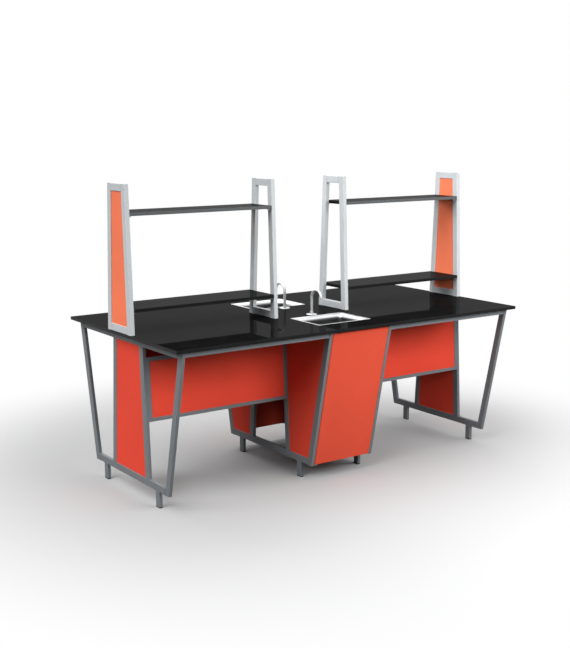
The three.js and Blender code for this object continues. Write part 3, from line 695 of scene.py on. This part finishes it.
worktop_black = black_board("worktop_resin", 0.078, 0.16, 0.30)
worktop_edge = board_edge("worktop_edge", (0.005, 0.005, 0.005), (0.009, 0.009, 0.009), 0.1)
columns, rows = len(grid_x), len(grid_y)
spot_x, spot_y = np.meshgrid(grid_x, grid_y)
spots = np.column_stack([spot_x.ravel(), spot_y.ravel(), np.full(columns * rows, TOP)])
corner = (np.arange(rows - 1)[:, None] * columns + np.arange(columns - 1)).ravel()
cells = np.column_stack([corner, corner + 1, corner + columns + 1, corner + columns])
centre = spots[cells].mean(axis=1)
aside, reach = np.abs(centre[:, 0] - SINK_X), np.abs(centre[:, 1])
over_sink = (aside < SINK_HALF_X - SINK_SEAT) & (np.abs(reach - SINK_REACH) < SINK_HALF_Y - SINK_SEAT)
over_tap = (aside < TAP_HOLE) & (np.abs(reach - TAP_REACH) < TAP_HOLE)
kept = cells[~(over_sink | over_tap)]
worktop_mesh = bpy.data.meshes.new("worktop_board")
worktop_mesh.from_pydata(spots.tolist(), [], kept.tolist())
worktop_mesh.materials.append(worktop_black)
worktop_mesh.materials.append(worktop_edge)
worktop = new_object(worktop_mesh)
thick = worktop.modifiers.new("thickness", "SOLIDIFY")
thick.thickness = TOP_THICKNESS
thick.offset = -1.0
thick.material_offset_rim = 1
eased = worktop.modifiers.new("eased_edges", "BEVEL")
eased.width = TOP_EASE
eased.segments = EASE_SEGMENTS
eased.limit_method = "ANGLE"
eased.angle_limit = EASE_ANGLE
eased.harden_normals = True
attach(worktop, "bench")
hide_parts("worktop")

# Sinks
# Pressed stainless steel bowls dropped into the cut-outs: a narrow flange, a wide rolled rim, straight walls
# with rounded corners and a floor with a drain hole, one thin sheet all through, with painted shade that
# darkens the inside below the rim.
SINK_DEPTH = 0.190
SINK_SHEET = 0.0012
SINK_FLANGE = 0.008
SINK_ROLL = 0.026
SINK_FLOOR_ROLL = 0.024
FLANGE_CORNER, BOWL_CORNER = 0.008, 0.024
DRAIN_RADIUS = 0.022
LIP_POINTS = 7
# Heights between which the painted shade fades in on the inner face, and how strongly it is laid on
PAINTED_SHADE_LEVELS = (-0.0145, -0.0195)
PAINTED_SHADE_SHARE = 3.2
# The steel's dark second colour is the painted shade inside the bowls below the rim
stainless = coated("stainless_steel", (0.62, 0.625, 0.63), (0.68, 0.685, 0.69), grain=700.0, patch=8.0,
                   smooth=0.30, rough=0.40, bump=0.004, wear_and_shade=(0.18, 0.182, 0.185), Metallic=1.0)


def sink_loop(inset, z, steps=10):
    """The sink's rounded outline drawn in by an inset, at height z."""
    share = min(inset / (SINK_FLANGE + SINK_ROLL), 1.0)
    radius = FLANGE_CORNER + (BOWL_CORNER - FLANGE_CORNER) * share
    outline = rounded_outline(2 * (SINK_HALF_X - inset), 2 * (SINK_HALF_Y - inset), radius, steps)
    return upright_loop(outline, 0.0, 0.0, z)


def sink_face(sheet, steps=8):
    """Rings of one face of the pressed sheet: a quarter roll down from the flange, the wall, and a quarter
    roll into the floor. The lower face lies one sheet further out."""
    turn = np.linspace(0, math.pi / 2, steps + 1)
    rim = SINK_ROLL - sheet
    high = SINK_SHEET - SINK_ROLL
    rings = [sink_loop(SINK_FLANGE + rim * math.sin(t), high + rim * math.cos(t)) for t in turn]
    base = SINK_FLOOR_ROLL + sheet
    foot = SINK_FLANGE + SINK_ROLL + SINK_FLOOR_ROLL
    low = SINK_FLOOR_ROLL - SINK_DEPTH
    return rings + [sink_loop(foot - base * math.cos(t), low - base * math.sin(t)) for t in turn]


def ring_of(radius, z, like):
    """A circle with as many points as another loop, each on the ray of its partner."""
    turn = np.arctan2(like[:, 1], like[:, 0])
    return upright_loop(radius * on_circle(turn), 0.0, 0.0, z)


def round_skin(rings):
    """A closed skin whose last ring joins the first one, as on a ring or a pressed sheet."""
    rings = np.concatenate([rings, rings[:1]])
    points, faces, arris = skin(rings, capped=False)
    around = rings.shape[1]
    count = (len(rings) - 1) * around
    return points[:count], (np.array(faces) % count).tolist(), arris[:count]


upper, under = sink_face(0.0), sink_face(SINK_SHEET)
lip = SINK_SHEET / 2
edge_turn = np.linspace(0, math.pi, LIP_POINTS)
edge = [sink_loop(lip - lip * math.sin(t), lip - lip * math.cos(t)) for t in edge_turn]
holes = [ring_of(DRAIN_RADIUS, z, upper[-1]) for z in (-SINK_DEPTH - SINK_SHEET, -SINK_DEPTH)]
sheet_rings = np.stack([holes[0], *under[::-1], *edge, *upper, holes[1]])
painted_shade_rings = np.arange(len(sheet_rings)) > len(under) + len(edge)
for side, sign, _ in SIDES:
    points, faces, _ = round_skin(sheet_rings)
    # The arris value carries the painted shade that darkens the inner face below the rim
    arris = np.interp(points[:, 2], PAINTED_SHADE_LEVELS[::-1], (PAINTED_SHADE_SHARE, 0.0))
    arris *= np.repeat(painted_shade_rings, sheet_rings.shape[1])
    points = turned_side(points + np.array([-sign * SINK_X, -SINK_REACH, TOP]), sign)
    node = f"{side}_sink"
    make_piece(f"{node}_bowl", [(points, faces, arris)], stainless, "bench", [node])

# Wastes and bottle traps
# A steel waste with a cross strainer clamps through the sink floor, and its tail dips into a white moulded
# trap with ribbed slip nuts, whose outlet runs towards the middle of the bench.
WASTE_SEAT = TOP - SINK_DEPTH + GAP
WASTE_FLANGE, WASTE_CROWN, WASTE_RADIUS, WASTE_BORE = 0.032, 0.003, 0.0205, 0.017
WASTE_DIP = 0.560
TRAP_LOW, TRAP_SHOULDER, TRAP_NECK, TRAP_HIGH = 0.520, 0.640, 0.652, 0.690
TRAP_RADIUS, TRAP_NECK_RADIUS, TRAP_WALL = 0.034, 0.026, 0.003
TRAP_PLUG_HOLE, TRAP_PLUG = 0.020, 0.0215
TRAP_NUT, TRAP_FLUTES, FLUTE = 0.030, 24, 0.0009
OUTLET_HEIGHT, OUTLET_REACH, OUTLET_RADIUS = 0.610, 0.130, 0.018
OUTLET_PIPE, OUTLET_NUT = OUTLET_RADIUS - 0.0012, OUTLET_RADIUS + 0.004
OUTLET_ROOT, OUTLET_NUT_NEAR, OUTLET_NUT_FAR, NUT_EASE = 0.030, 0.044, 0.069, 0.003
STRAINER_HEIGHT, STRAINER_WIDTH, STRAINER_CORNER, STRAINER_DROP = 0.0030, 0.0022, 0.0006, 0.0008
TURN_SIDES = 96


def lathe(profile, closed, flutes=TRAP_FLUTES):
    """A form turned about the vertical axis: each profile row is a radius, a height and a flute depth, by
    which the radius swells and shrinks round the circle as a cosine. It is a ring whose section closes on
    itself, or a solid with flat ends."""
    radius, height, depth = np.asarray(profile, float).T
    turn = np.arange(TURN_SIDES) / TURN_SIDES * 2 * math.pi
    reach = radius[:, None] + depth[:, None] * np.cos(flutes * turn)
    level = np.broadcast_to(height[:, None], reach.shape)
    rings = np.stack([reach * np.cos(turn), reach * np.sin(turn), level], axis=-1)
    return round_skin(rings) if closed else skin(rings)


def shifted(part, offset, sign):
    """A part moved by an offset on the front side, and turned half round for the rear side."""
    return turned_side(part[0] + np.asarray(offset, float), sign), part[1], part[2]


white_plastic = coated("white_plastic", (0.74, 0.74, 0.71), (0.82, 0.82, 0.79), grain=900.0, patch=11.0,
                       smooth=0.30, rough=0.46, bump=0.05)
# Rows of radius, height and flute depth, in which small offsets round the edges of flange and nuts
waste_profile = [
    (WASTE_BORE, WASTE_DIP, 0), (WASTE_RADIUS, WASTE_DIP, 0), (WASTE_RADIUS, WASTE_SEAT, 0),
    (WASTE_FLANGE, WASTE_SEAT, 0), (WASTE_FLANGE - 0.0006, WASTE_SEAT + 0.0016, 0),
    (WASTE_FLANGE - WASTE_CROWN, WASTE_SEAT + WASTE_CROWN, 0), (WASTE_BORE + 0.004, WASTE_SEAT + 0.0026, 0),
    (WASTE_BORE, WASTE_SEAT + 0.0006, 0),
]
nut_low, nut_high = TRAP_HIGH - TRAP_NUT, TRAP_HIGH
trap_profile = [
    (TRAP_PLUG_HOLE, TRAP_LOW, 0), (TRAP_RADIUS - 0.006, TRAP_LOW, 0),
    (TRAP_RADIUS - 0.001, TRAP_LOW + 0.004, 0.0006), (TRAP_RADIUS, TRAP_LOW + 0.007, FLUTE),
    (TRAP_RADIUS, TRAP_LOW + TRAP_NUT, FLUTE), (TRAP_RADIUS - 0.001, TRAP_LOW + TRAP_NUT + NUT_EASE, 0),
    (TRAP_RADIUS - 0.003, TRAP_LOW + TRAP_NUT + 0.004, 0),
    (TRAP_RADIUS - 0.003, TRAP_SHOULDER - 0.004, 0), (TRAP_RADIUS - 0.006, TRAP_SHOULDER + 0.004, 0),
    (TRAP_NECK_RADIUS - 0.002, TRAP_NECK, 0), (TRAP_NECK_RADIUS - 0.002, nut_low, 0),
    (TRAP_NECK_RADIUS - 0.001, nut_low, 0.0008), (TRAP_NECK_RADIUS, nut_low + NUT_EASE, FLUTE),
    (TRAP_NECK_RADIUS, nut_high - 0.004, FLUTE), (TRAP_NECK_RADIUS - 0.002, nut_high, 0),
    (WASTE_RADIUS + 2 * GAP, nut_high, 0), (WASTE_RADIUS + 2 * GAP, TRAP_NECK, 0),
    (TRAP_RADIUS - 2 * TRAP_WALL, TRAP_SHOULDER - TRAP_WALL, 0),
    (TRAP_RADIUS - 2 * TRAP_WALL, TRAP_LOW + TRAP_WALL, 0), (TRAP_PLUG_HOLE, TRAP_LOW + TRAP_WALL, 0),
]
outlet_profile = [
    (OUTLET_RADIUS - TRAP_WALL, OUTLET_ROOT, 0), (OUTLET_PIPE, OUTLET_ROOT, 0),
    (OUTLET_PIPE, OUTLET_NUT_NEAR, 0), (OUTLET_NUT - 0.0008, OUTLET_NUT_NEAR, 0.0007),
    (OUTLET_NUT, OUTLET_NUT_NEAR + NUT_EASE, FLUTE), (OUTLET_NUT, OUTLET_NUT_FAR - NUT_EASE, FLUTE),
    (OUTLET_NUT - 0.002, OUTLET_NUT_FAR, 0), (OUTLET_PIPE, OUTLET_NUT_FAR, 0),
    (OUTLET_PIPE, OUTLET_REACH, 0), (OUTLET_RADIUS - TRAP_WALL, OUTLET_REACH, 0),
]
plug_profile = [(TRAP_PLUG, TRAP_LOW, 0), (TRAP_PLUG, TRAP_LOW + TRAP_WALL, 0)]
strainer = rounded_outline(STRAINER_HEIGHT, STRAINER_WIDTH, STRAINER_CORNER, steps=3)
for side, sign, _ in SIDES:
    place = (-sign * SINK_X, -SINK_REACH, 0.0)
    parts = [shifted(lathe(waste_profile, closed=True), place, sign)]
    cross = np.array([0, 0, WASTE_SEAT - STRAINER_DROP])
    for angle in (0, math.pi / 2):
        arm = WASTE_BORE * np.array([math.cos(angle), math.sin(angle), 0.0])
        rod = bar(strainer, cross - arm, cross + arm, (0, 0, 1))
        parts.append(shifted(rod, place, sign))
    node = f"{side}_sink_waste"
    make_piece(f"{node}_fitting", parts, stainless, "bench", [node])
    parts = [shifted(lathe(trap_profile, closed=True), place, sign)]
    parts.append(shifted(lathe(plug_profile, closed=False), place, sign))
    pipe, faces, arris = lathe(outlet_profile, closed=True)
    pipe = np.column_stack([-pipe[:, 0], pipe[:, 2], pipe[:, 1] + OUTLET_HEIGHT])
    parts.append(shifted((pipe, faces, arris), place, sign))
    node = f"{side}_sink_trap"
    make_piece(f"{node}_moulding", parts, white_plastic, "bench", [node])

# Taps
# A chromed brass body with a disc on the worktop and a hexagon nut and quarter-turn valve below it, a bent
# gooseneck that swivels on the body, and a red lever on the valve.
TAP_DISC, TAP_DISC_HEIGHT, DISC_ARRIS = 0.031, 0.003, 0.0015
TAP_SHANK, TAP_COLLAR, TAP_COLLAR_HEIGHT = 0.013, 0.0095, 0.012
COLLAR_FILLET, COLLAR_ARRIS = 0.0020, 0.0006
TAP_PIPE = 0.008
TAP_CORE = 0.0005
BEND_HEIGHT, BEND_RADIUS = 0.100, 0.0465
VALVE_DROP, VALVE_HALF, VALVE_TAIL = 0.085, 0.024, 0.130
VALVE_TAIL_RADIUS, VALVE_ARRIS = 0.008, 0.002
SPIGOT_RADIUS, SPIGOT_LENGTH = 0.0054, 0.014
RING_HEIGHT, RING_BORE, RING_ARRIS = 0.008, 0.007, 0.0012
RING_FLUTES, RING_FLUTE = 32, 0.0002
LEVER_HUB, LEVER_HUB_LENGTH, HUB_ARRIS, HUB_SIDES = 0.008, 0.012, 0.0008, 32
LEVER_LENGTH, LEVER_WIDTH, LEVER_BLADE = 0.055, 0.012, 0.003
BLADE_TAPER, BLADE_ARRIS, BLADE_POINTS = 0.8, 0.0007, 11
NUT_HEIGHT, NUT_ACROSS, NUT_ARRIS = 0.008, 0.034, 0.0008
NECK_POINTS, NECK_SIDES, NECK_TIP = 44, 28, 0.010
# Ring at the mouth of the spout: distance back from the end and change of radius, outside and then inside
TIP_ROLL = np.array([(0.0098, 0.0002), (0.0094, 0.0006), (0.0008, 0.0006), (0.0002, 0.0003),
                     (0.0, -0.0004), (0.0002, -0.0016), (0.020, -0.0018)])
chrome = coated("chrome_plate", (0.60, 0.605, 0.61), (0.66, 0.665, 0.67), grain=240.0, patch=38.0,
                smooth=0.36, rough=0.44, bump=0.002, Metallic=1.0)
lever_red = coated("lever_red", (0.50, 0.030, 0.018), (0.58, 0.040, 0.024), grain=900.0, patch=30.0,
                   smooth=0.28, rough=0.42, bump=0.06, wear_and_shade=(0.66, 0.14, 0.10))
valve_low, valve_high = -VALVE_DROP - VALVE_HALF, -VALVE_DROP + VALVE_HALF
shank, spigot_high = TAP_SHANK - VALVE_ARRIS, TAP_COLLAR_HEIGHT + SPIGOT_LENGTH
# From the valve's tail up to the spigot that the spout turns on
body_profile = [
    (TAP_CORE, -VALVE_TAIL, 0), (VALVE_TAIL_RADIUS, -VALVE_TAIL, 0),
    (VALVE_TAIL_RADIUS, valve_low - 0.003, 0), (shank, valve_low, 0),
    (TAP_SHANK, valve_low + VALVE_ARRIS, 0), (TAP_SHANK, valve_high - VALVE_ARRIS, 0),
    (shank, valve_high, 0), (shank, -0.0001, 0), (TAP_DISC - 0.0004, 0.0, 0), (TAP_DISC, 0.0004, 0),
    (TAP_DISC, TAP_DISC_HEIGHT - DISC_ARRIS, 0),
    (TAP_DISC - DISC_ARRIS / 3, TAP_DISC_HEIGHT - DISC_ARRIS / 3, 0),
    (TAP_DISC - DISC_ARRIS, TAP_DISC_HEIGHT, 0), (TAP_COLLAR + COLLAR_FILLET, TAP_DISC_HEIGHT, 0),
    (TAP_COLLAR + COLLAR_ARRIS, TAP_DISC_HEIGHT + COLLAR_ARRIS, 0),
    (TAP_COLLAR, TAP_DISC_HEIGHT + COLLAR_FILLET, 0), (TAP_COLLAR, TAP_COLLAR_HEIGHT - COLLAR_ARRIS, 0),
    (TAP_COLLAR - COLLAR_ARRIS, TAP_COLLAR_HEIGHT, 0), (SPIGOT_RADIUS, TAP_COLLAR_HEIGHT, 0),
    (SPIGOT_RADIUS, spigot_high, 0), (TAP_CORE, spigot_high, 0),
]
hexagon = NUT_ACROSS / math.sqrt(3) * on_circle(np.arange(6) * math.pi / 3)


def gooseneck(travel):
    """Centre line and outward direction of the spout at a length along it: straight up, then a half circle
    towards the sink."""
    start = TAP_COLLAR_HEIGHT + GAP
    rise = BEND_HEIGHT - start
    angle = np.clip(travel - rise, 0, None) / BEND_RADIUS
    height = np.where(travel < rise, start + travel, BEND_HEIGHT + BEND_RADIUS * np.sin(angle))
    zero = np.zeros_like(travel)
    centre = np.column_stack([zero, -BEND_RADIUS * (1 - np.cos(angle)), height])
    outward = np.column_stack([zero, np.cos(angle), np.sin(angle)])
    return centre, outward


neck_length = BEND_HEIGHT - TAP_COLLAR_HEIGHT - GAP + math.pi * BEND_RADIUS
neck_travel = np.linspace(0.0, neck_length - NECK_TIP, NECK_POINTS)
neck_travel = np.concatenate([neck_travel, neck_length - TIP_ROLL[:, 0]])
neck_radius = TAP_PIPE + np.concatenate([np.zeros(NECK_POINTS), TIP_ROLL[:, 1]])
neck_centre, neck_outward = gooseneck(neck_travel)
neck_turn = np.arange(NECK_SIDES)[None, :, None] / NECK_SIDES * 2 * math.pi
neck_circle = np.cos(neck_turn) * np.array([1.0, 0.0, 0.0]) + np.sin(neck_turn) * neck_outward[:, None, :]
neck_rings = neck_centre[:, None, :] + neck_radius[:, None, None] * neck_circle
ring_low = TAP_COLLAR_HEIGHT + GAP
ring_high = ring_low + RING_HEIGHT
ring_profile = [
    (RING_BORE, ring_low, 0), (TAP_COLLAR - RING_ARRIS / 3, ring_low, 0),
    (TAP_COLLAR, ring_low + RING_ARRIS / 2, RING_FLUTE), (TAP_COLLAR, ring_high - RING_ARRIS, RING_FLUTE),
    (TAP_COLLAR - RING_ARRIS / 3, ring_high - RING_ARRIS / 3, 0), (TAP_COLLAR - RING_ARRIS, ring_high, 0),
    (RING_BORE, ring_high, 0),
]
blade_turn = np.linspace(0, math.pi, BLADE_POINTS)
blade_half, blade_tip = LEVER_WIDTH / 2, LEVER_WIDTH / 2 * BLADE_TAPER
blade_outline = np.concatenate([
    blade_half * on_circle(blade_turn),
    (0.0, blade_tip - LEVER_LENGTH) - blade_tip * on_circle(blade_turn),
])
hub_outline = LEVER_HUB * on_circle(np.arange(HUB_SIDES) / HUB_SIDES * 2 * math.pi)
for side, sign, _ in SIDES:
    place = (-sign * SINK_X, -TAP_REACH, TOP)
    parts = [shifted(lathe(body_profile, closed=False), place, sign)]
    nut_loop = upright_loop(hexagon, 0.0, 0.0, -TOP_THICKNESS - NUT_HEIGHT)
    parts.append(shifted(board(nut_loop, (0, 0, 1), NUT_HEIGHT, NUT_ARRIS), place, sign))
    node = f"{side}_tap_body"
    make_piece(f"{node}_turning", parts, chrome, "bench", [node])
    parts = [shifted(skin(neck_rings), place, sign)]
    parts.append(shifted(lathe(ring_profile, closed=True, flutes=RING_FLUTES), place, sign))
    node = f"{side}_tap_spout"
    make_piece(f"{node}_gooseneck", parts, chrome, f"{side}_spout", [node])
    valve = (-sign * SINK_X + TAP_SHANK + GAP, -TAP_REACH, TOP - VALVE_DROP)
    hub = np.column_stack([np.zeros(len(hub_outline)), hub_outline])
    parts = [shifted(board(hub, (1, 0, 0), LEVER_HUB_LENGTH, HUB_ARRIS), valve, sign)]
    blade = np.column_stack([np.full(len(blade_outline), LEVER_HUB_LENGTH - LEVER_BLADE), blade_outline])
    parts.append(shifted(board(blade, (1, 0, 0), LEVER_BLADE, BLADE_ARRIS), valve, sign))
    node = f"{side}_tap_lever"
    make_piece(f"{node}_handle", parts, lever_red, f"{side}_lever", [node])

# Uprights of the reagent shelf
# Four frames of 40 x 25 mm tube that narrow upwards and stand on the worktop, welded at the corners and
# coated in pale silver.
UPRIGHT_TOP = 1.689
UPRIGHT_HALF_LOW, UPRIGHT_HALF_HIGH = 0.132, 0.097
UPRIGHT_FACE, UPRIGHT_DEPTH = 0.040, 0.025
UPRIGHT_X = {"left_end": -1.1725, "left_mid": -0.2555, "right_mid": 0.2555, "right_end": 1.1725}
UPRIGHT_SLOPE = (UPRIGHT_HALF_LOW - UPRIGHT_HALF_HIGH) / (UPRIGHT_TOP - TOP)
SILVER_COAT = (0.530, 0.556, 0.570)
SILVER_RUBBED = (0.66, 0.69, 0.70)
silver_coat = coated("silver_powder_coat", *tones(SILVER_COAT, 0.03), grain=900.0, patch=5.0, smooth=0.34,
                     rough=0.48, bump=0.08, wear_and_shade=SILVER_RUBBED, Specular_IOR_Level=0.2)


def upright_half(z):
    """Half the width of an upright at height z."""
    return UPRIGHT_HALF_LOW - UPRIGHT_SLOPE * (z - TOP)


upright_outline = rounded_outline(UPRIGHT_FACE, UPRIGHT_DEPTH, TUBE_CORNER)
for name, x in UPRIGHT_X.items():
    parts = []
    cuts = (0, 1, -UPRIGHT_SLOPE), (0, 1, UPRIGHT_SLOPE)
    for middle in (TOP + UPRIGHT_FACE / 2, UPRIGHT_TOP - UPRIGHT_FACE / 2):
        reach = upright_half(middle) - UPRIGHT_FACE
        ends = (x, -reach, middle), (x, reach, middle)
        parts.append(bar(upright_outline, *ends, (0, 0, 1), *cuts, arris_values()))
    for sign in (-1, 1):
        stile = [(x, sign * (upright_half(z) - UPRIGHT_FACE / 2), z) for z in (TOP, UPRIGHT_TOP)]
        parts.append(bar(upright_outline, *stile, (0, 1, 0), (0, 0, 1), (0, 0, 1), arris_values()))
        for face in (x - UPRIGHT_DEPTH / 2, x + UPRIGHT_DEPTH / 2):
            for low, high in ((TOP, TOP + UPRIGHT_FACE), (UPRIGHT_TOP - UPRIGHT_FACE, UPRIGHT_TOP)):
                seam = [(face, sign * (upright_half(z) - UPRIGHT_FACE), z) for z in (low, high)]
                parts.append(weld_bead(*seam))
    node = f"{name}_upright"
    make_piece(f"{node}_tubes", parts, silver_coat, "bench", [node])

# Boards in the end uprights
# Red laminate on 16 mm board in a lighter shade, let in between the stiles and rails of the two end uprights,
# in the middle of their depth.
LIGHT_RED_LAMINATE = (0.970, 0.225, 0.112)
light_red_laminate = laminate("light_red_laminate", LIGHT_RED_LAMINATE)
low, high = TOP + UPRIGHT_FACE + GAP, UPRIGHT_TOP - UPRIGHT_FACE - GAP
reach = {z: upright_half(z) - UPRIGHT_FACE - GAP for z in (low, high)}
for name in ("left_end", "right_end"):
    corners = [(-reach[low], low), (reach[low], low), (reach[high], high), (-reach[high], high)]
    face = UPRIGHT_X[name] - BOARD_THICKNESS / 2
    part = board(across_x(corners, face), (1, 0, 0), BOARD_THICKNESS, BOARD_ARRIS)
    node = f"{name}_upright_panel"
    make_piece(f"{node}_board", [part], light_red_laminate, "bench", [node])

# Shelves
# Polished black boards of 18 mm in two levels on each side, as deep as the uprights are wide there, with a
# thin edging along both long edges: black below, and mid grey above, where the grey is a painted reflection.
# Each lies on four studs in the uprights.
SHELF_THICKNESS = 0.018
SHELF_TOPS = {"lower": 1.038, "upper": 1.541}
SHELF_BAYS = bay_spans(UPRIGHT_X, UPRIGHT_DEPTH)
EDGING = 0.001
STUD_RADIUS, STUD_LENGTH = 0.004, 0.014
stud_outline = rounded_outline(2 * STUD_RADIUS, 2 * STUD_RADIUS, STUD_RADIUS)
shelf_black = black_board("shelf_resin", 0.11, 0.18, 0.32)
edging = {
    "lower": board_edge("black_edging", (0.006, 0.006, 0.006), (0.011, 0.011, 0.011), 0.1),
    # The grey of the upper edging is a painted reflection
    "upper": board_edge("reflection_grey_edging", (0.080, 0.084, 0.088), (0.096, 0.100, 0.104), 0.3),
}
for bay, (left, right) in SHELF_BAYS.items():
    for level, top in SHELF_TOPS.items():
        half = upright_half(top - SHELF_THICKNESS / 2)
        deep = half - EDGING
        low = top - SHELF_THICKNESS
        node = f"{bay}_{level}_shelf"
        corners = np.array([(left, -deep, low), (right, -deep, low), (right, deep, low), (left, deep, low)])
        part = board(corners, (0, 0, 1), SHELF_THICKNESS, BOARD_ARRIS / 2)
        make_piece(f"{node}_board", [part], shelf_black, "bench", [node])
        parts = []
        for y in (-half, half - EDGING):
            corners = [(left, y, low), (right, y, low), (right, y + EDGING, low), (left, y + EDGING, low)]
            parts.append(board(np.array(corners), (0, 0, 1), SHELF_THICKNESS, EDGING / 3))
        make_piece(f"{node}_edging", parts, edging[level], "bench", [node])
        parts = []
        for x, inward in ((left, 1), (right, -1)):
            for y in (UPRIGHT_FACE / 2 - half, half - UPRIGHT_FACE / 2):
                start = np.array([x, y, low - STUD_RADIUS])
                parts.append(bar(stud_outline, start, start + [inward * STUD_LENGTH, 0, 0], (0, 1, 0)))
        make_piece(f"{node}_studs", parts, silver_coat, "bench", [node])
